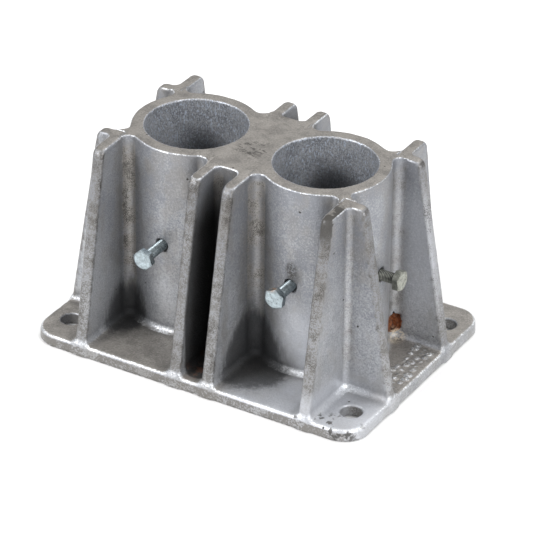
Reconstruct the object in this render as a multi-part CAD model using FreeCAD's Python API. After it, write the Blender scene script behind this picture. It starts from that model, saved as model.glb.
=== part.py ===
"""Twin-socket stanchion base: one ribbed iron casting and four hex-head clamp screws.

The casting is a rounded deck plate with two round sockets side by side, joined by a
web. Ribs stand tangent to the sockets, two on each face of each socket, and slope out
to the edges of the plate. Each socket has one clamp screw in its front wall and one in
its outer end wall. The frame has +X along the plate, +Y to the back, +Z up, and its
origin on the underside of the plate, midway between the sockets. Units are millimetres.
"""

import FreeCAD
import Part
import math
import os

# ---- Driving dimensions -------------------------------------------------------------

# Sockets
tube_diameter = 88.9            # the stanchion tube that a socket takes
tube_clearance = 1.05           # between the tube and the socket's bore, on the radius
socket_wall = 12.0              # thickness of the wall round a bore
socket_height = 192.0           # underside of the plate to the top face
bore_rim = 1.5                  # bevel at each end of a bore

# Ribs and the web between the sockets
rib_thickness = 11.0
rib_set_in = 3.5                # from a socket's outermost line in to a rib's outer face
rib_root_radius = 8.0           # hollow where a rib meets a socket
rib_valley_radius = 6.0         # hollow where two ribs meet at a corner
rib_edge_radius = 3.5           # on the long outer corners of a rib
slot_width = 22.0               # gap between the two middle ribs
slot_root_radius = 6.0          # hollow corners at the back of that gap
web_set_in = 4.5                # from the sockets' front line in to the web's face
end_rib_top_reach = 11.0        # how far an end rib stands past the socket, at the top
side_rib_top_reach = 25.5       # the same for a front or back rib

# Deck plate
plate_thickness = 11.5
end_reach = 42.5                # from a socket's end wall out to the end of the plate
side_reach = 60.0               # from a socket's front wall out to the plate's edge
plate_corner_radius = 24.0
plate_edge_radius = 2.5         # round on the plate's upper edge
rib_foot_set_in = 0.5           # a rib's foot stops this far inside the plate's edge
bolt_hole_diameter = 20.0
bolt_from_end = 22.0            # bolt hole's centre, from the end of the plate
bolt_from_side = 33.5           # bolt hole's centre, from the long edge of the plate

# Clamp screws, metric 10 mm hex head
screw_diameter = 10.0
screw_hole_clearance = 0.06     # on the radius, between a screw and its hole
screw_height = 98.0             # axis above the underside
screw_point_bevel = 1.2
head_across_flats = 17.0
head_thickness = 6.4
head_bevel_angle = 25.0         # slope of the turned bevel on the head's corners, degrees
front_screw_length = 30.0       # under the head
end_screw_length = 25.0
front_left_point_gap = 7.0      # from a screw's point to the bore's wall, at rest
front_right_point_gap = 3.0
end_point_gap = 1.5

# ---- Dimensions that follow ---------------------------------------------------------

bore_radius = tube_diameter / 2 + tube_clearance
socket_radius = bore_radius + socket_wall
rib_outer = socket_radius - rib_set_in          # from the socket's axis, rib's outer face
rib_inner = rib_outer - rib_thickness
socket_offset = slot_width / 2 + rib_outer      # socket's axis, from the middle
web_face = socket_radius - web_set_in
plate_half_length = socket_offset + socket_radius + end_reach
plate_half_width = socket_radius + side_reach
rib_foot_level = plate_thickness / 2
bolt_x = plate_half_length - bolt_from_end
bolt_y = plate_half_width - bolt_from_side
screw_hole_radius = screw_diameter / 2 + screw_hole_clearance

UP = FreeCAD.Vector(0, 0, 1)


# ---- Casting ------------------------------------------------------------------------


def rib_root():
    """The hollow between a rib's inner face and the socket: its two ends and middle.

    Points are (across the rib, along it) from the socket's axis, face first.
    """
    across = rib_inner - rib_root_radius
    along = math.sqrt((socket_radius + rib_root_radius) ** 2 - across**2)
    foot = socket_radius / (socket_radius + rib_root_radius)
    to_face = FreeCAD.Vector(1, 0, 0)
    to_socket = FreeCAD.Vector(-across, -along, 0).normalize()
    aim = (to_face + to_socket).normalize() * rib_root_radius
    return (
        (rib_inner, along),
        (across + aim.x, along + aim.y),
        (across * foot, along * foot),
    )


def rib_tip(axis, reach, near, far):
    """Steps round the outer end of a rib: up its near face, across, to its far face.

    The rib stands along Y from a socket's axis at X = axis; near and far are its two
    faces from that axis, and reach is how far its end is from it.
    """
    r = rib_edge_radius
    side = math.copysign(1, far - near)
    corner = r * (1 - math.sqrt(0.5))
    return [
        ("line", (axis + near, reach - r)),
        ("arc", (axis + near + side * corner, reach - corner),
         (axis + near + side * r, reach)),
        ("line", (axis + far - side * r, reach)),
        ("arc", (axis + far - side * corner, reach - corner), (axis + far, reach - r)),
    ]


def quarter_outline(end_tip, side_tip):
    """Quarter of the ribbed body's plan, from the web's middle to the end socket wall.

    end_tip and side_tip are how far the ribs stand out from the socket's axis. The
    result is a list of ("line", end) and ("arc", middle, end) from the start point,
    for positive X and Y.
    """
    s = socket_offset
    on_face, midway, on_socket = rib_root()
    diagonal = math.sqrt(0.5)
    v = rib_valley_radius * (1 - diagonal)
    w = slot_root_radius * (1 - diagonal)
    slot = slot_width / 2
    path = [
        ("start", (0, web_face)),
        ("line", (slot - slot_root_radius, web_face)),
        ("arc", (slot - w, web_face + w), (slot, web_face + slot_root_radius)),
    ]
    # Middle rib, then across the socket's long face, then the outer rib.
    path += rib_tip(s, side_tip, -rib_outer, -rib_inner)
    path += [
        ("line", (s - on_face[0], on_face[1])),
        ("arc", (s - midway[0], midway[1]), (s - on_socket[0], on_socket[1])),
        ("arc", (s, socket_radius), (s + on_socket[0], on_socket[1])),
        ("arc", (s + midway[0], midway[1]), (s + on_face[0], on_face[1])),
    ]
    path += rib_tip(s, side_tip, rib_inner, rib_outer)
    # Valley at the corner, then the rib on the end, then round to the end wall's middle.
    path += [
        ("line", (s + rib_outer, rib_outer + rib_valley_radius)),
        ("arc", (s + rib_outer + v, rib_outer + v),
         (s + rib_outer + rib_valley_radius, rib_outer)),
    ]
    path += [
        (step[0], *((s + y, x - s) for x, y in step[1:]))
        for step in rib_tip(s, end_tip, rib_outer, rib_inner)
    ]
    half = math.atan2(on_socket[0], on_socket[1]) / 2
    path += [
        ("line", (s + on_face[1], on_face[0])),
        ("arc", (s + midway[1], midway[0]), (s + on_socket[1], on_socket[0])),
        ("arc", (s + socket_radius * math.cos(half), socket_radius * math.sin(half)),
         (s + socket_radius, 0)),
    ]
    return path


def body_wire(level, end_tip, side_tip):
    """The whole plan of the ribbed body at a level, as one closed wire."""
    quarter = quarter_outline(end_tip, side_tip)
    edges = []
    for flip_x, flip_y in ((1, 1), (1, -1), (-1, -1), (-1, 1)):
        steps = quarter if flip_x * flip_y > 0 else backwards(quarter)
        here = place(steps[0][1], flip_x, flip_y, level)
        for step in steps[1:]:
            there = place(step[-1], flip_x, flip_y, level)
            if step[0] == "line":
                edges.append(Part.LineSegment(here, there).toShape())
            else:
                middle = place(step[1], flip_x, flip_y, level)
                edges.append(Part.Arc(here, middle, there).toShape())
            here = there
    return Part.Wire(edges)


def place(point, flip_x, flip_y, level):
    return FreeCAD.Vector(flip_x * point[0], flip_y * point[1], level)


def backwards(path):
    """The same path, walked from its end to its start."""
    ends = [step[-1] for step in path]
    result = [("start", ends[-1])]
    for i in range(len(path) - 1, 0, -1):
        step = path[i]
        result.append((step[0], *step[1:-1], ends[i - 1]))
    return result


def ribbed_body():
    """Sockets, web and ribs: a straight taper from the wide foot to the narrow top."""
    foot_end = plate_half_length - rib_foot_set_in - socket_offset
    foot_side = plate_half_width - rib_foot_set_in
    foot = body_wire(rib_foot_level, foot_end, foot_side)
    top = body_wire(
        socket_height, socket_radius + end_rib_top_reach, socket_radius + side_rib_top_reach
    )
    return Part.makeLoft([foot, top], True, True)


def deck_plate():
    length, width = 2 * plate_half_length, 2 * plate_half_width
    corner = FreeCAD.Vector(-plate_half_length, -plate_half_width, 0)
    plate = Part.makeBox(length, width, plate_thickness, corner)
    upright = [e for e in plate.Edges if abs(e.tangentAt(e.FirstParameter).z) > 0.9]
    plate = plate.makeFillet(plate_corner_radius, upright)
    rim = [e for e in plate.Edges if e.BoundBox.ZMin > plate_thickness - 0.01]
    return plate.makeFillet(plate_edge_radius, rim)


def bore(x):
    """A socket's bore, with a bevel at each end."""
    flare = bore_radius + bore_rim
    hole = Part.makeCylinder(bore_radius, socket_height, FreeCAD.Vector(x, 0, 0), UP)
    bottom = Part.makeCone(flare, bore_radius, bore_rim, FreeCAD.Vector(x, 0, 0), UP)
    lip = FreeCAD.Vector(x, 0, socket_height - bore_rim)
    top = Part.makeCone(bore_radius, flare, bore_rim, lip, UP)
    return [hole, bottom, top]


def screw_hole(x, y, inward):
    """A hole for a clamp screw, through one socket wall, from the socket's axis out."""
    start = FreeCAD.Vector(x, y, screw_height)
    return Part.makeCylinder(screw_hole_radius, socket_radius + 5, start, inward * -1)


def socket_casting():
    cuts = []
    for side in (-1, 1):
        x = side * socket_offset
        cuts += bore(x)
        cuts.append(screw_hole(x, 0, FreeCAD.Vector(0, 1, 0)))
        cuts.append(screw_hole(x, 0, FreeCAD.Vector(-side, 0, 0)))
        for y in (-bolt_y, bolt_y):
            start = FreeCAD.Vector(side * bolt_x, y, 0)
            cuts.append(
                Part.makeCylinder(bolt_hole_diameter / 2, plate_thickness, start, UP)
            )
    body = deck_plate().fuse(ribbed_body())
    return body.cut(cuts).removeSplitter()


# ---- Clamp screws -------------------------------------------------------------------


def clamp_screw(length):
    """A hex-head screw along +Z: its head's underside at 0, its point up at its length."""
    flats = head_across_flats / 2
    corners = flats / math.cos(math.radians(30))
    points = [
        FreeCAD.Vector(
            corners * math.cos(math.radians(60 * k)),
            corners * math.sin(math.radians(60 * k)),
            -head_thickness,
        )
        for k in range(7)
    ]
    head = Part.Face(Part.makePolygon(points)).extrude(UP * head_thickness)
    # The bevel is turned on the top of the head: a cone cuts the six corners.
    crown = flats * 0.95
    rise = math.tan(math.radians(head_bevel_angle))
    reach = head_thickness / rise
    top = FreeCAD.Vector(0, 0, -head_thickness)
    cone = Part.makeCone(crown, crown + reach, head_thickness, top, UP)
    head = head.common(cone)
    radius = screw_diameter / 2
    plain = length - screw_point_bevel
    shank = Part.makeCylinder(radius, plain, FreeCAD.Vector(), UP)
    start = FreeCAD.Vector(0, 0, plain)
    point = Part.makeCone(radius, radius - screw_point_bevel, screw_point_bevel, start, UP)
    return head.fuse([shank, point]).removeSplitter()


def placed_screw(x, inward, length, point_gap):
    """A clamp screw pointing at the socket's axis, its point that far from the bore."""
    reach = bore_radius + point_gap + length
    screw = clamp_screw(length)
    head_at = FreeCAD.Vector(x, 0, screw_height) - inward * reach
    screw.Placement = FreeCAD.Placement(head_at, FreeCAD.Rotation(UP, inward))
    return screw


def parts():
    back = FreeCAD.Vector(0, 1, 0)
    across = FreeCAD.Vector(1, 0, 0)
    left, right = -socket_offset, socket_offset
    front, end = front_screw_length, end_screw_length
    yield "socket_casting", socket_casting()
    yield "front_left_screw", placed_screw(left, back, front, front_left_point_gap)
    yield "front_right_screw", placed_screw(right, back, front, front_right_point_gap)
    yield "end_left_screw", placed_screw(left, across, end, end_point_gap)
    yield "end_right_screw", placed_screw(right, across * -1, end, end_point_gap)


os.makedirs("parts", exist_ok=True)
for node, shape in parts():
    box = shape.BoundBox
    print(
        f"{node}: solids {len(shape.Solids)}, valid {shape.isValid()}, "
        f"volume {shape.Volume / 1000:.1f} cm3, "
        f"x {box.XMin:.1f} to {box.XMax:.1f}, y {box.YMin:.1f} to {box.YMax:.1f}, "
        f"z {box.ZMin:.1f} to {box.ZMax:.1f}"
    )
    shape.exportStep(f"parts/{node}.step")
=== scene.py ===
"""Twin-socket stanchion base: a ribbed galvanised casting with hex-head clamp screws.

Every piece is in metres in the frame's own axes: +X along the plate, +Y to the back,
+Z up, with the origin on the underside of the plate, midway between the sockets.
"""

import math

import bpy
import numpy as np
from bpy.props import FloatProperty, FloatVectorProperty, PointerProperty
from mathutils import Matrix, Vector


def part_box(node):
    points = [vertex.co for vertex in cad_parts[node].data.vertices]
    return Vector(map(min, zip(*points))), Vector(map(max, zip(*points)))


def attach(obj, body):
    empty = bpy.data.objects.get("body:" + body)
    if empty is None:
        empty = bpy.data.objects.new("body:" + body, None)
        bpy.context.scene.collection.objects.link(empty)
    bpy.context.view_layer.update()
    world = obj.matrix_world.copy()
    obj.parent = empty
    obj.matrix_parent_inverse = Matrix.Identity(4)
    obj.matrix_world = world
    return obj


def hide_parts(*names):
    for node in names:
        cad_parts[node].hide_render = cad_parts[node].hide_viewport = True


bl_info = {
    "name": "Stanchion Base",
    "version": (1, 0, 0),
    "blender": (4, 5, 0),
    "location": "View3D > Sidebar > Stanchion Base",
    "description": "Builds a twin-socket stanchion base and the stage it stands on",
    "category": "Add Mesh",
}

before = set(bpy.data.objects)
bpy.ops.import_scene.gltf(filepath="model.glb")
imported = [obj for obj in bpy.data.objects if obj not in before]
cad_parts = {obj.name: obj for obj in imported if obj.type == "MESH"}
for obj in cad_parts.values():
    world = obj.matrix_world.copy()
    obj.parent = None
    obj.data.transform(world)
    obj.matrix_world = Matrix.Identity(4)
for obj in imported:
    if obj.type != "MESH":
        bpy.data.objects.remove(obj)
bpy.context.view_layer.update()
CASTING_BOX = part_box("socket_casting")

# The foot of a rib's end stops this far inside the plate's edge, in metres.
FOOT_SET_IN = 0.0005

# The casting's skin is merged down to this many triangles.
MOST_TRIANGLES = 190000

# Each screw's node and body, the way it points, and how far its head is turned, in degrees.
SCREWS = {
    "front_left_screw": ("front_left", (0, 1, 0), 14),
    "front_right_screw": ("front_right", (0, 1, 0), 38),
    "end_left_screw": ("end_left", (1, 0, 0), 5),
    "end_right_screw": ("end_right", (-1, 0, 0), 22),
}


# ---- Settings -----------------------------------------------------------------------


def length(name, description, default):
    """A size in metres that the sidebar shows."""
    return FloatProperty(
        name=name, description=description, default=default, min=0.0, precision=4,
        subtype="DISTANCE", unit="LENGTH",
    )


def colour(name, description, default):
    """A linear colour that the sidebar shows."""
    return FloatVectorProperty(
        name=name, description=description, default=default, min=0.0, max=1.0,
        size=3, subtype="COLOR",
    )


class CastingSettings(bpy.types.PropertyGroup):
    half_length: length(
        "Half length", "Middle to the end of the plate", CASTING_BOX[1][0])
    half_width: length(
        "Half width", "Middle to the long edge of the plate", CASTING_BOX[1][1])
    height: length("Height", "Underside to the top face", CASTING_BOX[1][2])
    plate: length("Plate", "Thickness of the plate", 0.0115)
    plate_corner: length("Plate corner", "Radius of the plate's corners in plan", 0.024)
    plate_edge: length("Plate edge", "Round on the plate's upper edge", 0.0038)
    socket_offset: length("Socket offset", "Middle to a socket's axis", 0.065)
    bore: length("Bore", "Radius of a socket's bore", 0.0455)
    socket: length("Socket", "Radius of a socket's outer wall", 0.0575)
    web: length("Web", "Middle to the face of the web", 0.053)
    rib: length("Rib", "Thickness of a rib", 0.011)
    rib_middle: length("Rib middle", "Socket's axis to the middle of a rib", 0.0485)
    rib_edge: length("Rib edge", "Round on a rib's long corners", 0.0036)
    side_top: length("Side rib top", "Middle to a side rib's end, at the top", 0.083)
    end_top: length("End rib top", "Socket's axis to an end rib's end, at the top", 0.0685)
    tip: length("Rib tip", "Round on a rib's end, at the top", 0.0085)
    valley: length("Valley", "Hollow between two ribs, and in the slots", 0.0055)
    root: length("Root", "Hollow where a rib meets a socket", 0.0080)
    foot: length("Foot", "Hollow where a wall meets the plate", 0.0058)
    lip: length("Lip", "Round on the edges of the top face", 0.0021)
    bolt_x: length("Bolt X", "Middle to a bolt hole, along the plate", 0.143)
    bolt_y: length("Bolt Y", "Middle to a bolt hole, across the plate", 0.084)
    bolt: length("Bolt hole", "Radius of a bolt hole", 0.0098)
    screw_level: length("Screw level", "Underside to a clamp screw's axis", 0.098)
    screw_hole: length("Screw hole", "Radius of a clamp screw's hole", 0.0060)
    unevenness: length("Unevenness", "How far the cast faces wander", 0.00028)
    cell: length("Cell", "Spacing of the grid that the skin is drawn on", 0.0021)
    pale: colour("Pale metal", "Lightest zinc", (0.56, 0.57, 0.59))
    dark: colour("Dark metal", "Darkest zinc on the walls", (0.25, 0.26, 0.285))
    dusty: colour("Dusty metal", "Zinc on the level faces", (0.33, 0.31, 0.285))
    rust: colour("Rust", "Bare iron gone rusty", (0.235, 0.078, 0.028))
    grime: colour("Grime", "Dirt in the scuffs and pinholes", (0.045, 0.042, 0.038))


class ScrewSettings(bpy.types.PropertyGroup):
    shank: length("Shank", "Radius over the thread's crests", 0.00497)
    thread: length("Thread depth", "Crest to root of the thread", 0.00058)
    pitch: length("Pitch", "One turn of the thread", 0.0015)
    flats: length("Half flats", "Middle of the head to a flat", 0.0085)
    head: length("Head", "Thickness of the head", 0.0064)
    point: length("Point", "Bevel at the screw's point", 0.0012)
    bright: colour("Bright zinc", "Plating on the front screws", (0.55, 0.64, 0.68))
    dull: colour("Dull zinc", "Weathered plating on the end screws", (0.52, 0.53, 0.47))


class StageSettings(bpy.types.PropertyGroup):
    floor: colour("Floor", "Plain pale floor", (0.90, 0.90, 0.90))
    distance: length("Camera distance", "Camera to the point it aims at", 3.2235)
    azimuth: FloatProperty(
        name="Azimuth", description="Turn of the view about the upright",
        default=math.radians(30.638), subtype="ANGLE", unit="ROTATION")
    elevation: FloatProperty(
        name="Elevation", description="Height of the view above level",
        default=math.radians(30.657), subtype="ANGLE", unit="ROTATION")
    roll: FloatProperty(
        name="Roll", description="Tilt of the camera about its own axis",
        default=math.radians(0.668), subtype="ANGLE", unit="ROTATION")
    aim: FloatVectorProperty(
        name="Aim", description="Point in the middle of the view",
        default=(0.00961, -0.00365, 0.07273), size=3, subtype="XYZ", unit="LENGTH")


class StanchionBaseSettings(bpy.types.PropertyGroup):
    casting: PointerProperty(type=CastingSettings)
    screw: PointerProperty(type=ScrewSettings)
    stage: PointerProperty(type=StageSettings)


# ---- Shapes -------------------------------------------------------------------------


def hollow_join(a, b, radius):
    """Two shapes as one, with a hollow of that radius along the line where they meet.

    The larger of the radius and the nearer distance, less the hypotenuse of how far
    each distance falls short of the radius.
    """
    short = np.hypot(np.maximum(radius - a, 0), np.maximum(radius - b, 0))
    return np.maximum(radius, np.minimum(a, b)) - short


def rounded_meet(a, b, radius):
    """What lies in both shapes, with the edge between them rounded to that radius.

    The smaller of minus the radius and the further distance, plus the hypotenuse of
    how far each distance comes within the radius.
    """
    over = np.hypot(np.maximum(radius + a, 0), np.maximum(radius + b, 0))
    return np.minimum(-radius, np.maximum(a, b)) + over


def wander(x, y, z):
    """Slow unevenness of a sand mould, from -1 to 1: a sum of three crossed waves."""
    return (
        0.5 * np.sin(71 * x + 23 * z + 1.0) * np.sin(83 * y - 19 * z + 0.4)
        + 0.3 * np.sin(191 * x - 57 * y + 2.2) * np.sin(143 * z + 61 * y)
        + 0.2 * np.sin(413 * z + 129 * x) * np.sin(377 * y + 211 * x + 0.7)
    )


def rib_end(s, reach, top, foot, z):
    """The outer end of a rib, past which there is no metal, rounded over at the top.

    A plane that slopes from the top's reach to the foot's, met by the top face with a
    broad corner.
    """
    lean = (foot - top) / (s.height - s.plate / 2)
    edge = (reach - top - lean * (s.height - z)) / math.hypot(1, lean)
    return rounded_meet(edge, z - s.height, s.tip)


def ribs(s, x, y, z):
    """The ribs of a quarter of the casting; x and y are from the socket's axis.

    The outer two share a corner: all that lies past both inner faces and within either
    outer face, with a hollow in the valley between them and a heel that backs it on to
    the socket. The middle one is a slab.
    """
    near, far = s.rib_middle - s.rib / 2, s.rib_middle + s.rib / 2
    side = rib_end(s, y, s.side_top, s.half_width - FOOT_SET_IN, z)
    foot = s.half_length - FOOT_SET_IN - s.socket_offset
    end = rib_end(s, x, s.end_top, foot, z)
    corner = np.maximum(near - np.minimum(x, y), hollow_join(x - far, y - far, s.valley))
    corner = rounded_meet(rounded_meet(corner, side, s.rib_edge), end, s.rib_edge)
    heel = np.maximum(np.abs(x - near + 0.0035), np.abs(y - near + 0.0035)) - 0.0055
    corner = np.minimum(corner, np.maximum(heel, z - s.height - 0.01))
    slab = np.maximum(np.abs(x + s.rib_middle) - s.rib / 2, near - y)
    return np.minimum(corner, rounded_meet(slab, side, s.rib_edge))


def root_fill(s, x, y):
    """Metal between a socket's wall and a rib's inner face, hollowed to the root's radius.

    All that is outside a circle touching both, short of the line between the two places
    where it touches them; a corner's two ribs are mirror images across the diagonal. The
    circle is a hair larger, to run into both faces before the line cuts it off.
    """
    low, high = np.minimum(np.abs(x), y), np.maximum(np.abs(x), y)
    near = s.rib_middle - s.rib / 2
    across = near - s.root
    along = math.sqrt((s.socket + s.root) ** 2 - across ** 2)
    share = s.socket / (s.socket + s.root)
    run, climb = near - across * share, along - along * share
    size = math.hypot(run, climb)
    line = ((high - along) * run - (low - near) * climb) / size
    hollow = s.root + 0.00003 - np.hypot(low - across, high - along)
    return np.maximum(np.maximum(hollow, line), low - near - 0.002)


def plate_outline(s, x, y):
    """Distance to a rectangle with round corners: to its inset box, less the radius."""
    across = x - s.half_length + s.plate_corner
    along = y - s.half_width + s.plate_corner
    outside = np.hypot(np.maximum(across, 0), np.maximum(along, 0))
    return outside + np.minimum(np.maximum(across, along), 0) - s.plate_corner


def casting_shape(s, x, y, z):
    """Signed distance to the casting, under 0 in the metal.

    Sockets, web and ribs are joined by hollows, backed by a block inside the metal
    between them, cut level at the top and joined to the plate; the bores and holes are
    taken out last. X and Y are folded on the middle planes, and X is then taken from
    a socket's axis.
    """
    fold_x, fold_y = np.abs(x), np.abs(y)
    from_axis = fold_x - s.socket_offset
    radial = np.hypot(from_axis, y)
    walls = np.maximum(radial - s.socket, -z)
    inner = s.rib_middle - s.rib / 2
    web = np.maximum(from_axis + inner + s.valley, fold_y - s.web)
    walls = hollow_join(walls, web, s.valley)
    walls = hollow_join(walls, ribs(s, from_axis, fold_y, z), s.valley)
    walls = np.minimum(walls, root_fill(s, from_axis, fold_y))
    backing = np.maximum(from_axis + inner + 0.002, fold_y - inner + 0.001)
    walls = np.minimum(walls, backing)
    walls = rounded_meet(walls, z - s.height, s.lip)
    outline = plate_outline(s, fold_x, fold_y)
    plate = rounded_meet(outline, z - s.plate, s.plate_edge)
    metal = hollow_join(np.maximum(walls, outline + 0.0012), plate, s.foot)
    metal = metal + s.unevenness * wander(x, y, z)
    metal = hollow_join(metal, raised_dots(s, x, y, z), 0.0009)
    metal = rounded_meet(metal, -pit_shape(x, y, z), 0.0008)
    metal = rounded_meet(metal, s.bore - radial, 0.0009)
    bolt = np.hypot(fold_x - s.bolt_x, fold_y - s.bolt_y)
    metal = rounded_meet(metal, s.bolt - bolt, 0.0011)
    metal = rounded_meet(metal, -z, 0.0012)
    front = np.maximum(np.hypot(from_axis, z - s.screw_level) - s.screw_hole, y + 0.03)
    end = np.maximum(np.hypot(y, z - s.screw_level) - s.screw_hole, 0.03 - from_axis)
    return rounded_meet(metal, -np.minimum(front, end), 0.0006)


def raised_dots(s, x, y, z):
    """Low rounded dots in three staggered rows on the plate, between the right end ribs."""
    pitch = 0.0078
    row = np.clip(np.round((x - 0.1555) / 0.0072), -2, 0)
    shift = y + 0.5 * pitch * row
    column = np.clip(np.round(shift / pitch), -4, 4)
    mixed = 5.1 * column + 3.7 * row
    size = 0.0020 + 0.0011 * np.sin(mixed)
    aside, astray = 0.0011 * np.sin(2.3 * mixed), 0.0011 * np.cos(1.7 * mixed)
    flat = np.hypot(x - 0.1555 - 0.0072 * row - aside, shift - pitch * column - astray) - size
    return rounded_meet(flat, z - s.plate - 0.0013, 0.0010)


def pit_shape(x, y, z):
    """A rough hole in the corner behind the right socket: a wavy ellipsoid."""
    wave = 0.12 * np.sin(900 * x + 400 * z) + 0.1 * np.sin(1100 * z - 300 * x)
    far = np.sqrt(((x - 0.1135) / 0.0062) ** 2 + ((y - 0.0425) / 0.0045) ** 2
                  + ((z - 0.0275) / 0.0088) ** 2)
    return (far - 1 - wave) * 0.0045


def skin(shape, low, high, cell):
    """The surface where a shape's distance is 0, as points and quads.

    A grid of cells covers the box. Each cell that the surface passes through gets one
    point, the mean of where the surface crosses the cell's edges, and each grid edge
    that it crosses gets a quad of the four cells round it, facing out of the metal.
    """
    counts = [int(math.ceil((b - a) / cell)) + 5 for a, b in zip(low, high)]
    axes = [a + cell * (np.arange(n) - 2) for a, n in zip(low, counts)]
    value = shape(axes[0][:, None, None], axes[1][None, :, None], axes[2][None, None, :])
    value = np.broadcast_to(value, counts)
    inside = value < 0
    cells = tuple(n - 1 for n in counts)
    total = np.zeros(cells + (3,))
    hits = np.zeros(cells)
    crossings = []
    for axis in range(3):
        lower = [slice(None)] * 3
        upper = [slice(None)] * 3
        lower[axis], upper[axis] = slice(0, -1), slice(1, None)
        starts = inside[tuple(lower)]
        at = np.argwhere(starts != inside[tuple(upper)])
        step = np.zeros(3, int)
        step[axis] = 1
        near = value[tuple(at.T)]
        share = near / (near - value[tuple((at + step).T)])
        point = at + step * share[:, None]
        b, c = (axis + 1) % 3, (axis + 2) % 3
        around = []
        for back_b, back_c in ((1, 1), (0, 1), (0, 0), (1, 0)):
            cell_at = at.copy()
            cell_at[:, b] -= back_b
            cell_at[:, c] -= back_c
            np.add.at(total, tuple(cell_at.T), point)
            np.add.at(hits, tuple(cell_at.T), 1)
            around.append(cell_at)
        crossings.append((around, starts[tuple(at.T)]))
    used = hits > 0
    number = np.full(cells, -1)
    number[used] = np.arange(int(used.sum()))
    points = total[used] / hits[used][:, None]
    points = points * cell + np.array([a[0] for a in axes])
    quads = []
    for around, outward in crossings:
        quad = np.stack([number[tuple(c.T)] for c in around], axis=1)
        quads.append(np.where(outward[:, None], quad, quad[:, ::-1]))
    return points, np.concatenate(quads)


def slope(shape, points, reach):
    """Gradient of a shape at points, from differences over a small reach each way."""
    result = np.empty_like(points)
    for axis in range(3):
        step = np.zeros(3)
        step[axis] = reach
        ahead, behind = (points + step).T, (points - step).T
        result[:, axis] = (shape(*ahead) - shape(*behind)) / (2 * reach)
    return result


def settle(shape, points, limit):
    """Points moved onto the surface: three steps along the slope, each kept short."""
    for _ in range(3):
        lean = slope(shape, points, 0.0002)
        size = np.maximum((lean**2).sum(axis=1), 0.2)
        move = -(shape(*points.T) / size)[:, None] * lean
        far = np.linalg.norm(move, axis=1, keepdims=True)
        points = points + move * np.minimum(1, limit / np.maximum(far, 1e-9))
    return points


def bend(shape, points, reach):
    """How sharply a surface turns at points: over 0 on a ridge, under 0 in a hollow.

    The shape's six neighbours less six times itself, over the reach squared, scaled so
    that a ridge of 4 mm radius gives 1.
    """
    total = -6 * shape(*points.T)
    for axis in range(3):
        for way in (-reach, reach):
            step = np.zeros(3)
            step[axis] = way
            total = total + shape(*(points + step).T)
    return np.clip(total / reach**2 * 0.004, -1.5, 1.5)


def shelter(shape, points, lean):
    """How shut in a surface is at points, from 0 in the open to 1 deep in a corner.

    At four distances out along the normal, how far the nearest metal falls short of
    that distance, as a share of it; the nearer ones count more.
    """
    total, weight = np.zeros(len(points)), 0
    for reach, share in ((0.005, 1.0), (0.012, 0.9), (0.022, 0.8), (0.036, 0.7)):
        clear = shape(*(points + lean * reach).T)
        total += share * np.clip((reach - clear) / reach, 0, 1)
        weight += share
    return total / weight


def end_strip(s, points):
    """1 on the narrow outer ends of the ribs, and 0 on the rest of the casting."""
    x, y, z = np.abs(points[:, 0]) - s.socket_offset, np.abs(points[:, 1]), points[:, 2]
    near, far = s.rib_middle - s.rib / 2 - 0.0008, s.rib_middle + s.rib / 2 + 0.0008
    share = (s.height - z) / (s.height - s.plate / 2)
    side = s.side_top + (s.half_width - FOOT_SET_IN - s.side_top) * share
    foot = s.half_length - FOOT_SET_IN - s.socket_offset
    end = s.end_top + (foot - s.end_top) * share
    on_side = (np.abs(x) > near) & (np.abs(x) < far) & (y > side - 0.0035)
    on_end = (y > near) & (y < far) & (x > end - 0.0035)
    clear = (z > s.plate + 0.004) & (z < s.height - 0.002)
    return ((on_side | on_end) & clear).astype(float)


def mesh_from(name, points, faces):
    """A mesh of points and of faces with the same number of corners each."""
    mesh = bpy.data.meshes.new(name)
    corners = faces.shape[1]
    mesh.vertices.add(len(points))
    mesh.vertices.foreach_set("co", np.asarray(points, np.float32).ravel())
    mesh.loops.add(faces.size)
    mesh.loops.foreach_set("vertex_index", faces.astype(np.int32).ravel())
    mesh.polygons.add(len(faces))
    mesh.polygons.foreach_set("loop_start", np.arange(0, faces.size, corners, np.int32))
    mesh.update(calc_edges=True)
    return mesh


def thinned(mesh, most):
    """The same mesh of triangles, merged down to about a number of them."""
    helper = bpy.data.objects.new("thinning", mesh)
    bpy.context.scene.collection.objects.link(helper)
    modifier = helper.modifiers.new("Thin", "DECIMATE")
    modifier.ratio = min(1.0, most / len(mesh.polygons))
    graph = bpy.context.evaluated_depsgraph_get()
    result = bpy.data.meshes.new_from_object(helper.evaluated_get(graph))
    bpy.data.objects.remove(helper)
    bpy.data.meshes.remove(mesh)
    return result


def mesh_points(mesh):
    points = np.empty(len(mesh.vertices) * 3, np.float32)
    mesh.vertices.foreach_get("co", points)
    return points.reshape(-1, 3).astype(float)


def add_piece(name, mesh, material, body, node):
    """A finished piece in the scene: its material, its body and the node it stands for."""
    piece = bpy.data.objects.new(name, mesh)
    bpy.context.scene.collection.objects.link(piece)
    mesh.materials.append(material)
    mesh.shade_smooth()
    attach(piece, body)
    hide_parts(node)
    return piece


def point_value(mesh, name, values):
    """Store one number for each point, for a material to read."""
    layer = mesh.attributes.new(name, "FLOAT", "POINT")
    layer.data.foreach_set("value", np.asarray(values, np.float32))


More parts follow.
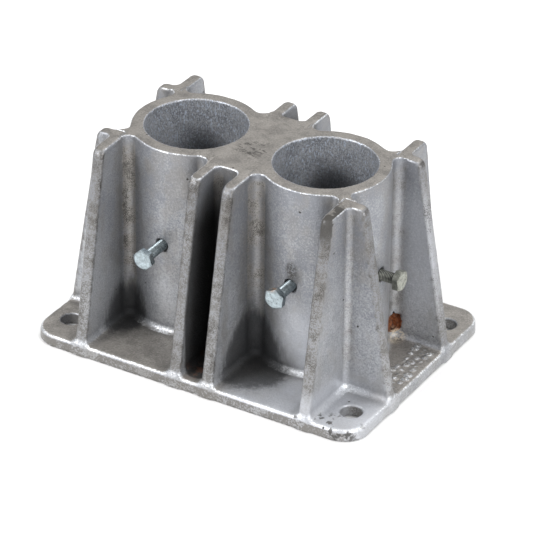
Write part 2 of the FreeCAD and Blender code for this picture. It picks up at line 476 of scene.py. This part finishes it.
def screw_surface(s, span, columns=96):
    """A hex-head screw along +Z as one grid: round its axis by from crown to point.

    Each row is a ring whose radius and height follow the angle. On the head the outer
    radius is the flat's distance over the cosine of the angle from that flat, and the
    turned bevel rises with the radius. On the shank the radius falls from the crest
    by the depth times a rounded sawtooth of the height in pitches less the turn.
    Returns the points, the triangles, how deep in the thread each point lies, and which
    points are on the crown.
    """
    turn = np.linspace(0, 2 * math.pi, columns, endpoint=False)
    sector = math.pi / 3
    hexagon = s.flats / np.cos((turn % sector) - sector / 2)
    crown = 0.93 * s.flats
    rise = math.tan(math.radians(25))
    one = np.ones(columns)
    rows = []
    for share, sink in ((0.15, 0.00022), (0.7, 0.00022), (0.82, 0.00018), (0.9, 0), (1, 0)):
        rows.append((crown * share * one, (sink - s.head) * one))
    for share in (0.04, 0.3, 0.6, 0.9, 0.985):
        ring = crown + (hexagon - crown) * share
        rows.append((ring, (ring - crown) * rise - s.head))
    shoulder = (hexagon - crown) * rise - s.head
    for share in (0.02, 0.06, 0.3, 0.6, 0.9, 0.94):
        rows.append((hexagon, shoulder * (1 - share)))
    seat = -0.0002 * one
    rows.append((hexagon - 0.0002, seat))
    rows.append((0.6 * hexagon + 0.4 * s.shank, seat))
    rows.append(((s.shank + 0.0004) * one, seat))
    steps = np.linspace(0.0002, span, 1 + int(span / s.pitch * 10))
    phase = (steps[:, None] / s.pitch - turn / (2 * math.pi)) % 1
    groove = np.clip(1.25 - 2.6 * np.abs(phase - 0.5), 0, 1)
    groove = groove * np.clip((steps[:, None] - 0.0012) / 0.001, 0, 1)
    reach = np.minimum(s.shank - s.thread * groove,
                       s.shank - s.point + (span - steps[:, None]))
    radius = np.concatenate([np.array([r for r, _ in rows]), reach])
    height = np.concatenate(
        [np.array([h for _, h in rows]), np.repeat(steps[:, None], columns, axis=1)])
    deep = np.concatenate([np.zeros((len(rows), columns)), groove])
    points = np.stack(
        [radius * np.cos(turn), radius * np.sin(turn), height], axis=2).reshape(-1, 3)
    ends = np.array([[0, 0, 0.00022 - s.head], [0, 0, span]])
    count = len(radius)
    row, column = np.meshgrid(np.arange(count - 1), np.arange(columns), indexing="ij")
    after = (column + 1) % columns
    quads = np.stack([row * columns + column, (row + 1) * columns + column,
                      (row + 1) * columns + after, row * columns + after], axis=2)
    around = np.arange(columns)
    ahead = (around + 1) % columns
    last = (count - 1) * columns
    first_fan = np.stack([np.full(columns, len(points)), around, ahead], axis=1)
    last_fan = np.stack([np.full(columns, len(points) + 1), last + ahead, last + around], 1)
    points = np.concatenate([points, ends])
    quads = quads.reshape(-1, 4)
    triangles = np.concatenate([quads[:, [0, 2, 1]], quads[:, [0, 3, 2]],
                                first_fan[:, [0, 2, 1]], last_fan[:, [0, 2, 1]]])
    face = (height < -s.head + 0.0004) & (radius < crown)
    return (points, triangles, np.concatenate([deep.ravel(), [0, 0]]),
            np.concatenate([face.ravel(), [True, False]]).astype(float))


# ---- Materials ----------------------------------------------------------------------


class Shade:
    """One output in a material's node tree, for use in Python arithmetic."""

    def __init__(self, tree, socket=None):
        self.tree = tree
        self.socket = socket

    def add(self, kind, settings=None, values=None, output=0):
        """Add a node: set it up, then give its sockets values or links."""
        made = self.tree.nodes.new(kind)
        for name, value in (settings or {}).items():
            setattr(made, name, value)
        for key, value in (values or {}).items():
            if isinstance(value, Shade):
                self.tree.links.new(value.socket, made.inputs[key])
            else:
                made.inputs[key].default_value = value
        return Shade(self.tree, made.outputs[output])

    def math(self, operation, *values):
        return self.add("ShaderNodeMath", {"operation": operation}, dict(enumerate(values)))

    def __add__(self, other):
        return self.math("ADD", self, other)

    def __sub__(self, other):
        return self.math("SUBTRACT", self, other)

    def __rsub__(self, other):
        return self.math("SUBTRACT", other, self)

    def __mul__(self, other):
        return self.math("MULTIPLY", self, other)

    def size(self):
        return self.math("ABSOLUTE", self)

    def root(self):
        return self.math("SQRT", self)

    __radd__ = __add__
    __rmul__ = __mul__

    def rise(self, low, high):
        """From 0 to 1 as this goes from low to high, easing at both ends."""
        return self.add(
            "ShaderNodeMapRange", {"interpolation_type": "SMOOTHSTEP"},
            {"Value": self, "From Min": low, "From Max": high})

    def noise(self, scale, detail=2.0, roughness=0.5):
        """Noise of about this many patches a metre, read at this place."""
        return self.add("ShaderNodeTexNoise", {}, {
            "Vector": self, "Scale": scale, "Detail": detail, "Roughness": roughness})

    def stretched(self, x, y, z):
        """This place, drawn out or squeezed along each axis."""
        return self.add("ShaderNodeVectorMath", {"operation": "MULTIPLY"}, {0: self, 1: (x, y, z)})

    def near(self, point, x, y, z, core=0.35):
        """1 at a point, falling to 0 at these distances from it along each axis.

        It stays 1 out to the core, which is a share of the distances.
        """
        away = self.add("ShaderNodeVectorMath", {"operation": "SUBTRACT"}, {0: self, 1: point})
        away = away.stretched(1 / x, 1 / y, 1 / z)
        far = away.add("ShaderNodeVectorMath", {"operation": "LENGTH"}, {0: away}, "Value")
        return 1 - far.rise(core, 1)

    def blots(self, core, *spots):
        """The sum of soft patches: for each, a point, its reach along X, Y and Z, its weight."""
        return sum(self.near(point, *reach, core) * weight for point, reach, weight in spots)

    def blend(self, under, over):
        """A colour that goes from under to over as this goes from 0 to 1."""
        return self.add("ShaderNodeMix", {"data_type": "RGBA"},
                        {0: self, 6: tone(under), 7: tone(over)}, 2)

    def stored(self, name):
        """A number that the mesh keeps for each of its points."""
        return self.add("ShaderNodeAttribute", {"attribute_name": name}, {}, "Fac")

    def part(self, axis):
        """One of a place's or a direction's three numbers: 0 for X, 1 for Y, 2 for Z."""
        return self.add("ShaderNodeSeparateXYZ", {}, {0: self}, axis)


def tone(value):
    """A colour in the form that a colour socket takes."""
    return value if isinstance(value, Shade) else (*tuple(value)[:3], 1.0)


def scaled(colour, share):
    """A colour made darker or lighter by that share."""
    return [c * share for c in colour]


def new_material(name):
    """A material with an empty tree, and the place of each point in it."""
    material = bpy.data.materials.new(name)
    material.use_nodes = True
    material.node_tree.nodes.clear()
    place = Shade(material.node_tree).add("ShaderNodeTexCoord", output="Object")
    return material, place


def finish_material(place, values):
    """Join a Principled shader with these values to the material's output."""
    shader = place.add("ShaderNodeBsdfPrincipled", {}, values)
    output = place.tree.nodes.new("ShaderNodeOutputMaterial")
    place.tree.links.new(shader.socket, output.inputs["Surface"])


class CastingMasks:
    """Where a point of the casting is, how it faces, and the grains of noise there."""

    def __init__(self, s, place):
        self.place = place
        self.sideways = place.part(0)
        self.height = place.part(2)
        self.aside = place.part(1).size()
        self.normal = place.add("ShaderNodeNewGeometry", output="Normal")
        self.upward = self.normal.part(2)
        self.level = self.upward.rise(0.70, 0.96)
        self.bend = place.stored("bend")
        self.hollow = 0 - self.bend
        self.shut = place.stored("shelter") * (1 - self.level * self.height.rise(0.180, 0.186))
        self.strip = place.stored("strip")
        self.in_bore = inside_bores(s, place)
        self.in_hole = inside_holes(s, place)
        self.grain = place.noise(620, 2.0, 0.6)
        self.speck = place.noise(1250, 1.0)
        self.patch = place.noise(70, 3.0, 0.6)
        self.cloud = place.noise(15, 2.0)
        self.glint = (self.grain + 0.9 * self.patch).rise(0.88, 1.12)


def zinc(s, m):
    """Blue-grey walls, dusty level faces and rib ends, brighter, sparkling bores, and painted
    light in a few places.
    """
    lightness = 0.34 * m.grain + 0.22 * m.speck + 0.20 * m.patch + 0.26 * m.cloud
    # Painted light: the walls and the bores grow lighter towards the bottom.
    lightness = lightness - 0.75 * (m.height - 0.085)
    walls = lightness.rise(0.38, 0.68).blend(s.dark, s.pale)
    blotch = m.place.stretched(1, 1, 0.5).noise(38, 3.0, 0.55).rise(0.50, 0.66)
    walls = (blotch * 0.30).blend(walls, scaled(s.dusty, 0.85))

    dust = (0.34 * m.grain + 0.22 * m.speck + 0.44 * m.patch).rise(0.34, 0.66)
    tops = dust.blend(scaled(s.dusty, 0.46), scaled(s.dusty, 1.06))
    floors = dust.blend(scaled(s.dusty, 0.58), scaled(s.dusty, 1.25))
    tops = m.height.rise(0.10, 0.12).blend(floors, tops)
    # Painted light: a pool of light on the plate's front right corner, where the level faces take
    # the walls' tone.
    bright = m.place.blots(
        0, ((0.140, -0.100, 0.0115), (0.085, 0.085, 0.04), 1),
        ((0.068, -0.105, 0.0115), (0.060, 0.050, 0.04), 1)).rise(0, 0.8)
    now = (m.level * (0.94 - 0.85 * bright)).blend(walls, tops)

    drip = m.place.stretched(1, 1, 0.16).noise(60, 2.0)
    warm = (m.patch + drip - 1.0).rise(-0.05, 0.25) * 0.45
    now = warm.blend(now, scaled(s.dusty, 0.8))
    fringe = m.strip * (0.30 + 0.70 * (0.35 * m.patch + 0.65 * m.grain).rise(0.42, 0.56))
    now = (fringe * 0.80).blend(now, scaled(s.dusty, 0.42))

    inner = lightness.rise(0.345, 0.605).blend(scaled(s.dark, 0.90), scaled(s.pale, 1.25))
    spark = m.place.stretched(1, 1, 0.4).noise(900, 1.0).rise(0.54, 0.68)
    inner = spark.blend(inner, (0.60, 0.66, 0.76))
    now = (m.in_bore * 0.9).blend(now, inner)

    # Painted sheen: pale blue-grey light on that corner, low on the right socket's front and by
    # the right end's back rib.
    painted_sheen = bright + m.place.blots(
        0, ((0.080, -0.060, 0.040), (0.060, 0.040, 0.075), 1),
        ((0.145, 0.038, 0.110), (0.060, 0.036, 0.110), 0.9))
    painted_sheen = painted_sheen.rise(0, 1) * (0.35 + 0.3 * m.cloud)
    return painted_sheen.blend(now, (0.66, 0.68, 0.73))


def shaded(m, now):
    """Painted shade wherever the casting is shut in, in the bays' left corners most of all, and
    deep in the bores.

    Returns the colour, the painted shadows in the bays' corners and all of the painted shade.
    """
    # Painted shade in the recesses, less towards the right end.
    recess = (m.shut - 0.20 + 0.25 * (m.patch - 0.5)).rise(0.0, 0.42) * (1 - m.in_bore)
    recess = recess * (1 - 0.65 * m.sideways.rise(0.106, 0.118))
    now = (recess * 0.60).blend(now, (0.055, 0.056, 0.058))
    # Painted shadows cast by the ribs into the bays' left corners.
    left_bay = m.place.blots(
        0, ((-0.1030, -0.0600, 0.014), (0.042, 0.052, 0.050), 1),
        ((-0.1030, -0.0500, 0.026), (0.034, 0.050, 0.062), 0.6))
    right_bay = m.place.blots(
        0, ((0.0250, -0.0600, 0.012), (0.075, 0.078, 0.060), 1),
        ((0.0240, -0.0500, 0.030), (0.036, 0.050, 0.085), 0.6),
        ((0.042, -0.080, 0.0115), (0.050, 0.045, 0.012), 0.35))
    streak = m.place.stretched(1, 1, 0.3).noise(150, 3.0, 0.65)
    corners = ((left_bay * 1.45 + right_bay * 2.10) * (0.40 + 1.1 * streak)).rise(0, 1.70)
    # Painted shade deep in the bores.
    well = m.place.blots(
        0, ((-0.080, 0.0440, 0.130), (0.058, 0.040, 0.062), 1),
        ((0.048, 0.0440, 0.128), (0.064, 0.040, 0.070), 1.2))
    deep = (corners + well * m.in_bore).rise(0, 1) * 0.90
    now = deep.blend(now, (0.020, 0.021, 0.023))
    return now, corners, 0.6 * recess + corners + well


def dust_and_light_in_hollows(s, m, now, corners):
    """Dust in the hollows beside the ribs, with painted light where those hollows catch it, and
    dark specks there and on the rib ends.
    """
    dust = m.hollow.rise(0.10, 0.35) * m.height.rise(0.024, 0.045) * (1 - m.level)
    dust = dust * (1 - corners) * (1 - m.height.rise(0.182, 0.189))
    dust = dust * (1 - 0.65 * m.sideways.rise(0.070, 0.100))
    # Dust and painted light: the dusty tone lifts the shaded hollows where they catch the light.
    mottled = dust * (0.35 + 0.50 * m.patch.rise(0.36, 0.6))
    now = mottled.blend(now, scaled(s.dusty, 0.95))
    specks = (m.speck + m.patch).rise(1.08, 1.18) * m.height.rise(0.02, 0.03)
    specks = specks * (dust + 0.6 * m.strip + 0.4 * m.cloud).rise(0, 1)
    return (specks * 0.75).blend(now, s.grime)


def painted_glints_and_shade(s, m, now, corners):
    """Painted highlights on the top's lips, the plate's brim, the dots and the walls' feet.

    The plate's upright edge gets painted shade instead, least where it faces +X.
    """
    # Painted highlights: glints along the top face's rounded lips.
    lip = m.height.rise(0.1885, 0.1905) * m.upward.rise(0.35, 0.60)
    lip = lip * (1 - m.upward.rise(0.76, 0.90)) * (1 - m.in_bore)
    lip = lip * (0.12 + 0.88 * m.glint) * (0.35 + 0.65 * (0.01 + m.bend).rise(0.12, 0.40))
    now = lip.blend(now, (0.88, 0.91, 0.95))

    # Painted highlights: glints along the plate's rounded brim.
    brim = (1 - m.height.rise(0.0118, 0.0128)) * m.upward.rise(0.50, 0.72)
    brim = brim * (1 - m.upward.rise(0.86, 0.95)) * (1 - m.in_hole)
    brim = brim * (0.05 + m.bend).rise(0, 0.15) * (0.15 + 0.85 * m.glint)
    now = brim.blend(now, (0.92, 0.94, 0.97))
    # Painted shade on the plate's upright edge, least on the faces towards +X.
    edge = (1 - m.height.rise(0.0090, 0.0110)) * (1 - m.upward.rise(0.2, 0.4))
    edge = edge * (1 - 0.7 * m.normal.part(0).rise(0.3, 0.9)) * (0.40 + 0.50 * (1 - m.glint))
    now = edge.blend(now, scaled(s.dusty, 0.56))

    # Painted highlights in the hollows at the walls' feet, in front of the sockets and at the
    # front right end, kept out of the painted corner shadows.
    foot = (1 - m.height.rise(0.014, 0.021)) * m.hollow.rise(0.30, 0.70)
    foot = foot * m.upward.rise(0.05, 0.2)
    painted_foot_highlight = m.place.blots(
        0.35, ((-0.078, -0.062, 0.012), (0.030, 0.018, 0.02), 1),
        ((0.066, -0.062, 0.012), (0.032, 0.018, 0.02), 1),
        ((0.128, -0.060, 0.012), (0.020, 0.020, 0.02), 1))
    painted_foot_highlight = (painted_foot_highlight + 0.16).rise(0, 1) * (1 - 0.9 * corners) * (0.3 + 0.7 * m.glint)
    now = (foot * painted_foot_highlight).blend(now, (0.90, 0.92, 0.95))
    # Painted glints on the raised dots.
    dots = m.height.rise(0.0119, 0.0125) * (1 - m.height.rise(0.0140, 0.0150))
    dots = dots * m.bend.rise(0.05, 0.25) * (0.05 + 0.65 * m.glint)
    return dots.blend(now, (0.86, 0.89, 0.93))


def painted_slot_shade(m, now):
    """Painted shade in the slots between the middle ribs, lighter at the top and at the mouths.

    Returns the colour and the painted shade.
    """
    # Painted shade: the slots go near black, as deep shade would make them.
    cleft = 1 - m.sideways.size().rise(0.0112, 0.0130)
    slot_shade = cleft * (1 - 0.15 * m.aside.rise(0.060, 0.110))
    slot_shade = slot_shade * (1 - 0.80 * m.height.rise(0.140, 0.190))
    behind = m.place.part(1).rise(0.0, 0.04)
    slot_shade = slot_shade * (1 - 0.5 * behind * m.height.rise(0.150, 0.180))
    mouth = m.aside + 40 * m.sideways * m.sideways
    slot_shade = slot_shade * (1 - m.height.rise(0.1885, 0.1905)) * (1 - mouth.rise(0.1085, 0.1125))
    return slot_shade.blend(now, (0.006, 0.006, 0.006)), slot_shade


def scuffed(s, m, now):
    """Scuffs on the top face and rib tops, chips on the plate's edge, a scrape, pinholes.

    Returns the colour, the dirt in all of them and the pinholes.
    """
    top = m.level * m.height.rise(0.186, 0.190)
    scuff = m.place.stretched(0.55, 1.0, 1).noise(210, 3.0, 0.7)
    heavy = m.place.near((0.0, -0.014, 0.192), 0.022, 0.026, 0.02)
    faint = m.place.near((-0.004, 0.036, 0.192), 0.026, 0.036, 0.02) * 0.45
    scuffs = top * scuff.rise(0.52, 0.60) * (heavy + faint)
    tips = top * m.aside.rise(0.058, 0.068) * m.patch.rise(0.46, 0.58)
    ear = (top + m.strip).rise(0, 1) * m.patch.rise(0.38, 0.52)
    ear = ear * m.place.near((0.108, -0.072, 0.186), 0.036, 0.034, 0.034)
    chip = m.patch.rise(0.54, 0.62) * (1 - m.height.rise(0.0118, 0.0128))
    chip = chip * m.place.near((0.135, -0.112, 0.008), 0.060, 0.030, 0.02)
    cell = m.place.add("ShaderNodeTexVoronoi", {}, {"Vector": m.place, "Scale": 62}, "Distance")
    pinhole = (1 - cell.rise(0.045, 0.075)) * m.place.noise(41, 0).rise(0.56, 0.60)
    scrape = m.place.near((0.066, -0.0560, 0.113), 0.009, 0.012, 0.014)
    scrape = scrape * m.grain.rise(0.36, 0.54)
    dirt = scuffs * 0.85 + tips * 0.5 + ear * 0.85 + chip * 0.8 + pinhole + scrape * 0.75
    dirt = dirt.rise(0.0, 1.0)
    return dirt.blend(now, s.grime), dirt, pinhole


def rusted(s, m, now):
    """Rust in the pit behind the right socket, with a crust under it, and in the slot.

    Returns the colour and all that has rusted.
    """
    rust_grain = 0.55 * m.patch + 0.55 * m.grain
    pit = m.place.near((0.1130, 0.0425, 0.0262), 0.0100, 0.016, 0.0130) + 0.35 * rust_grain
    pit = pit.rise(0.44, 0.56)
    slot = m.place.near((0.0, -0.090, 0.012), 0.020, 0.045, 0.030) * m.patch.rise(0.45, 0.60)
    rust = (pit + slot * 0.30).rise(0.0, 1.0)
    rust_tone = rust_grain.rise(0.42, 0.72).blend(scaled(s.rust, 0.22), scaled(s.rust, 1.6))
    now = rust.blend(now, rust_tone)
    crust = m.place.near((0.1155, 0.0410, 0.0145), 0.0135, 0.018, 0.0070)
    crust = crust * (m.grain + m.patch).rise(0.8, 1.1)
    return (crust * 0.85).blend(now, (0.62, 0.53, 0.40)), rust + crust


def casting_material(s):
    """Galvanised iron from a sand mould: blue-grey grain, dusty level faces, painted glints on the
    edges and painted shade in the recesses and slots.
    """
    material, place = new_material("Galvanised Casting")
    m = CastingMasks(s, place)
    now = zinc(s, m)
    now, corners, shade = shaded(m, now)
    now = dust_and_light_in_hollows(s, m, now, corners)
    now = painted_glints_and_shade(s, m, now, corners)
    now, slot_shade = painted_slot_shade(m, now)
    now, dirt, pinhole = scuffed(s, m, now)
    now, rust = rusted(s, m, now)
    # Rust, dirt and the painted shade together make the metal less metallic and rougher.
    stained = (rust + dirt + slot_shade + shade).rise(0, 1)
    rough = 0.34 + 0.20 * m.grain + 0.14 * m.level + 0.25 * stained - 0.08 * m.glint
    relief = 0.6 * m.grain + 0.3 * m.speck + 0.6 * m.patch - 1.2 * pinhole
    bump = place.add("ShaderNodeBump", {}, {
        "Height": relief, "Strength": 0.7, "Distance": 0.0009})
    finish_material(place, {
        "Base Color": now, "Metallic": 0.60 * (1 - stained), "Roughness": rough,
        "Normal": bump})
    return material


def inside_holes(s, place):
    """1 on the walls of the bolt holes, and 0 elsewhere."""
    across = place.part(0).size() - s.bolt_x
    along = place.part(1).size() - s.bolt_y
    far = (across * across + along * along).root()
    return 1 - far.rise(s.bolt + 0.0006, s.bolt + 0.0016)


def inside_bores(s, place):
    """1 on the walls of the bores, and 0 elsewhere."""
    across = place.part(0).size() - s.socket_offset
    along = place.part(1)
    far = (across * across + along * along).root()
    return 1 - far.rise(s.bore + 0.0003, s.bore + 0.0012)


def screw_material(name, metal, dullness, stain, rusty=(0, 0, 0)):
    """Zinc-plated steel: cloudy plating, painted shade in the thread and rust about one place."""
    material, place = new_material(name)
    deep = place.stored("groove")
    face = place.stored("face").rise(0.4, 0.9)
    cloud = place.noise(260, 3.0, 0.6)
    grain = place.noise(1700, 2.0)
    shade = (0.6 * cloud + 0.4 * grain).rise(0.34, 0.68)
    sides = shade.blend(scaled(metal, 0.40), scaled(metal, 0.85))
    crown = shade.blend(scaled(metal, 0.46), scaled(metal, 0.95))
    plated = face.blend(sides, crown)
    marks = place.add("ShaderNodeTexVoronoi", {}, {"Vector": place, "Scale": 330}, "Distance")
    marks = (1 - marks.rise(0.18, 0.30)) * face * 0.55
    plated = marks.blend(plated, (0.12, 0.14, 0.15))
    # Painted shade in the thread's grooves, deeper on the duller screws.
    plated = (deep * (0.20 + 1.8 * dullness)).blend(plated, (0.03, 0.032, 0.034))
    about = place.near(rusty, 0.0075, 0.0055, 0.0045, 0.3)
    stained = cloud.rise(0.40, 0.56) * about * stain
    plated = stained.blend(plated, (0.30, 0.15, 0.06))
    bump = place.add("ShaderNodeBump", {}, {
        "Height": 0.6 * grain + cloud, "Strength": 0.35, "Distance": 0.0002})
    finish_material(place, {
        "Base Color": plated, "Metallic": 0.95 - 0.7 * stained - 0.35 * face,
        "Roughness": dullness + 0.18 * cloud + 0.3 * stained + 0.15 * face,
        "Normal": bump})
    return material


def floor_material(s):
    """Plain pale board with a barely seen unevenness."""
    material, place = new_material("Pale Floor")
    cloud = place.noise(3.0, 2.0)
    pale = cloud.blend(scaled(s.floor, 0.99), s.floor)
    finish_material(place, {"Base Color": pale, "Roughness": 0.85})
    return material


# ---- Operators ----------------------------------------------------------------------


class STANCHION_OT_casting(bpy.types.Operator):
    """Build the ribbed casting: plate, sockets, web and ribs in one skin"""

    bl_idname = "stanchion.casting"
    bl_label = "Casting"

    def execute(self, context):
        s = context.scene.stanchion_base.casting

        def shape(x, y, z):
            return casting_shape(s, x, y, z)

        low = (-s.half_length, -s.half_width, 0)
        high = (s.half_length, s.half_width, s.height)
        points, quads = skin(shape, low, high, s.cell)
        points = settle(shape, points, s.cell)
        triangles = np.concatenate([quads[:, [0, 1, 2]], quads[:, [0, 2, 3]]])
        mesh = thinned(mesh_from("casting", points, triangles), MOST_TRIANGLES)
        points = settle(shape, mesh_points(mesh), s.cell / 2)
        mesh.vertices.foreach_set("co", points.astype(np.float32).ravel())
        lean = slope(shape, points, 0.0004)
        lean /= np.linalg.norm(lean, axis=1, keepdims=True)
        point_value(mesh, "bend", bend(shape, points, 0.0012))
        point_value(mesh, "shelter", shelter(shape, points, lean))
        point_value(mesh, "strip", end_strip(s, points))
        add_piece("casting", mesh, casting_material(s), "base", "socket_casting")
        mesh.normals_split_custom_set_from_vertices(lean)
        return {"FINISHED"}


class STANCHION_OT_screws(bpy.types.Operator):
    """Build the clamp screws, with their threads and beveled hex heads"""

    bl_idname = "stanchion.screws"
    bl_label = "Clamp Screws"

    def execute(self, context):
        s = context.scene.stanchion_base.screw
        low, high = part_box("front_right_screw")
        rusty = (0.5 * (low[0] + high[0]) - 0.4 * s.flats, low[1] + 0.5 * s.head,
                 0.5 * (low[2] + high[2]) + 1.0 * s.flats)
        bright = screw_material("Bright Zinc", tuple(s.bright), 0.20, 0.0)
        spotted = screw_material("Spotted Zinc", tuple(s.bright), 0.22, 0.9, rusty)
        dull = screw_material("Dull Zinc", tuple(s.dull), 0.42, 0.0)
        for node, (body, inward, degrees) in SCREWS.items():
            low, high = (Vector(c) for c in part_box(node))
            along = Vector(inward)
            middle = (low + high) / 2
            half = abs((high - low).dot(along)) / 2
            points, triangles, deep, face = screw_surface(s, 2 * half - s.head)
            head_top = middle - along * half
            turn = along.to_track_quat("Z", "Y").to_matrix()
            turn = turn @ Matrix.Rotation(math.radians(degrees), 3, "Z")
            placed = (points + [0, 0, s.head]) @ np.array(turn).T + np.array(head_top)
            mesh = mesh_from(node, placed, triangles)
            point_value(mesh, "groove", deep)
            point_value(mesh, "face", face)
            front = node.startswith("front")
            finish = (spotted if "right" in node else bright) if front else dull
            add_piece(node.replace("_screw", "_clamp_screw"), mesh, finish, body, node)
        return {"FINISHED"}


class STANCHION_OT_stage(bpy.types.Operator):
    """Set out the pale floor, the soft studio lights and the camera"""

    bl_idname = "stanchion.stage"
    bl_label = "Stage"

    def execute(self, context):
        s = context.scene.stanchion_base.stage
        scene = context.scene
        u, v = np.meshgrid(np.linspace(-6, 6, 25), np.linspace(-6, 6, 25), indexing="ij")
        points = np.stack([u, v, np.zeros_like(u)], axis=2).reshape(-1, 3)
        row, column = np.meshgrid(np.arange(24), np.arange(24), indexing="ij")
        first = (row * 25 + column).ravel()
        quads = np.stack([first, first + 25, first + 26, first + 1], axis=1)
        mesh = mesh_from("floor", points, quads)
        mesh.materials.append(floor_material(s))
        floor = bpy.data.objects.new("floor", mesh)
        scene.collection.objects.link(floor)

        world = bpy.data.worlds.new("Studio")
        world.use_nodes = True
        world.node_tree.nodes["Background"].inputs["Color"].default_value = (1, 1, 1, 1)
        world.node_tree.nodes["Background"].inputs["Strength"].default_value = 0.55
        scene.world = world
        scene.view_settings.view_transform = "Standard"
        add_light("Key", (-1.4, -1.7, 1.7), 1.2, 52)
        add_light("Fill", (2.2, -0.9, 1.2), 1.2, 34)
        add_light("Top", (0.3, 0.9, 2.4), 1.6, 34)

        back, right, up = camera_axes(s)
        camera = bpy.data.objects.new("Camera", bpy.data.cameras.new("Camera"))
        camera.data.lens = 248.44
        camera.data.sensor_width = 36.0
        camera.data.clip_end = 50.0
        turn = Matrix((right, up, back)).transposed().to_4x4()
        camera.matrix_world = Matrix.Translation(Vector(s.aim) + back * s.distance) @ turn
        scene.collection.objects.link(camera)
        scene.camera = camera
        return {"FINISHED"}


def camera_axes(s):
    """The camera's backward, right and upward directions from its three angles."""
    flat = math.cos(s.elevation)
    back = Vector((math.sin(s.azimuth) * flat, -math.cos(s.azimuth) * flat,
                   math.sin(s.elevation)))
    level = Vector((math.cos(s.azimuth), math.sin(s.azimuth), 0))
    steep = back.cross(level)
    right = level * math.cos(s.roll) + steep * math.sin(s.roll)
    up = steep * math.cos(s.roll) - level * math.sin(s.roll)
    return back, right, up


def add_light(name, place, size, power):
    """A square soft light that faces the middle of the object."""
    data = bpy.data.lights.new(name, "AREA")
    data.size = size
    data.energy = power
    light = bpy.data.objects.new(name, data)
    light.location = place
    aim = Vector((0, 0, 0.09)) - Vector(place)
    light.rotation_euler = aim.to_track_quat("-Z", "Y").to_euler()
    bpy.context.scene.collection.objects.link(light)


class STANCHION_PT_panel(bpy.types.Panel):
    """Sizes, colours and the steps that build the object"""

    bl_idname = "STANCHION_PT_panel"
    bl_label = "Stanchion Base"
    bl_space_type = "VIEW_3D"
    bl_region_type = "UI"
    bl_category = "Stanchion Base"

    def draw(self, context):
        settings = context.scene.stanchion_base
        for step, group in (
            (STANCHION_OT_casting, settings.casting),
            (STANCHION_OT_screws, settings.screw),
            (STANCHION_OT_stage, settings.stage),
        ):
            box = self.layout.box()
            box.operator(step.bl_idname)
            for name in group.bl_rna.properties.keys():
                if name not in ("rna_type", "name"):
                    box.prop(group, name)


CLASSES = (
    CastingSettings, ScrewSettings, StageSettings, StanchionBaseSettings,
    STANCHION_OT_casting, STANCHION_OT_screws, STANCHION_OT_stage, STANCHION_PT_panel,
)


def register():
    for cls in CLASSES:
        bpy.utils.register_class(cls)
    bpy.types.Scene.stanchion_base = PointerProperty(type=StanchionBaseSettings)


def unregister():
    del bpy.types.Scene.stanchion_base
    for cls in reversed(CLASSES):
        bpy.utils.unregister_class(cls)


def main():
    register()
    bpy.ops.stanchion.casting()
    bpy.ops.stanchion.screws()
    bpy.ops.stanchion.stage()


if __name__ == "__main__":
    main()
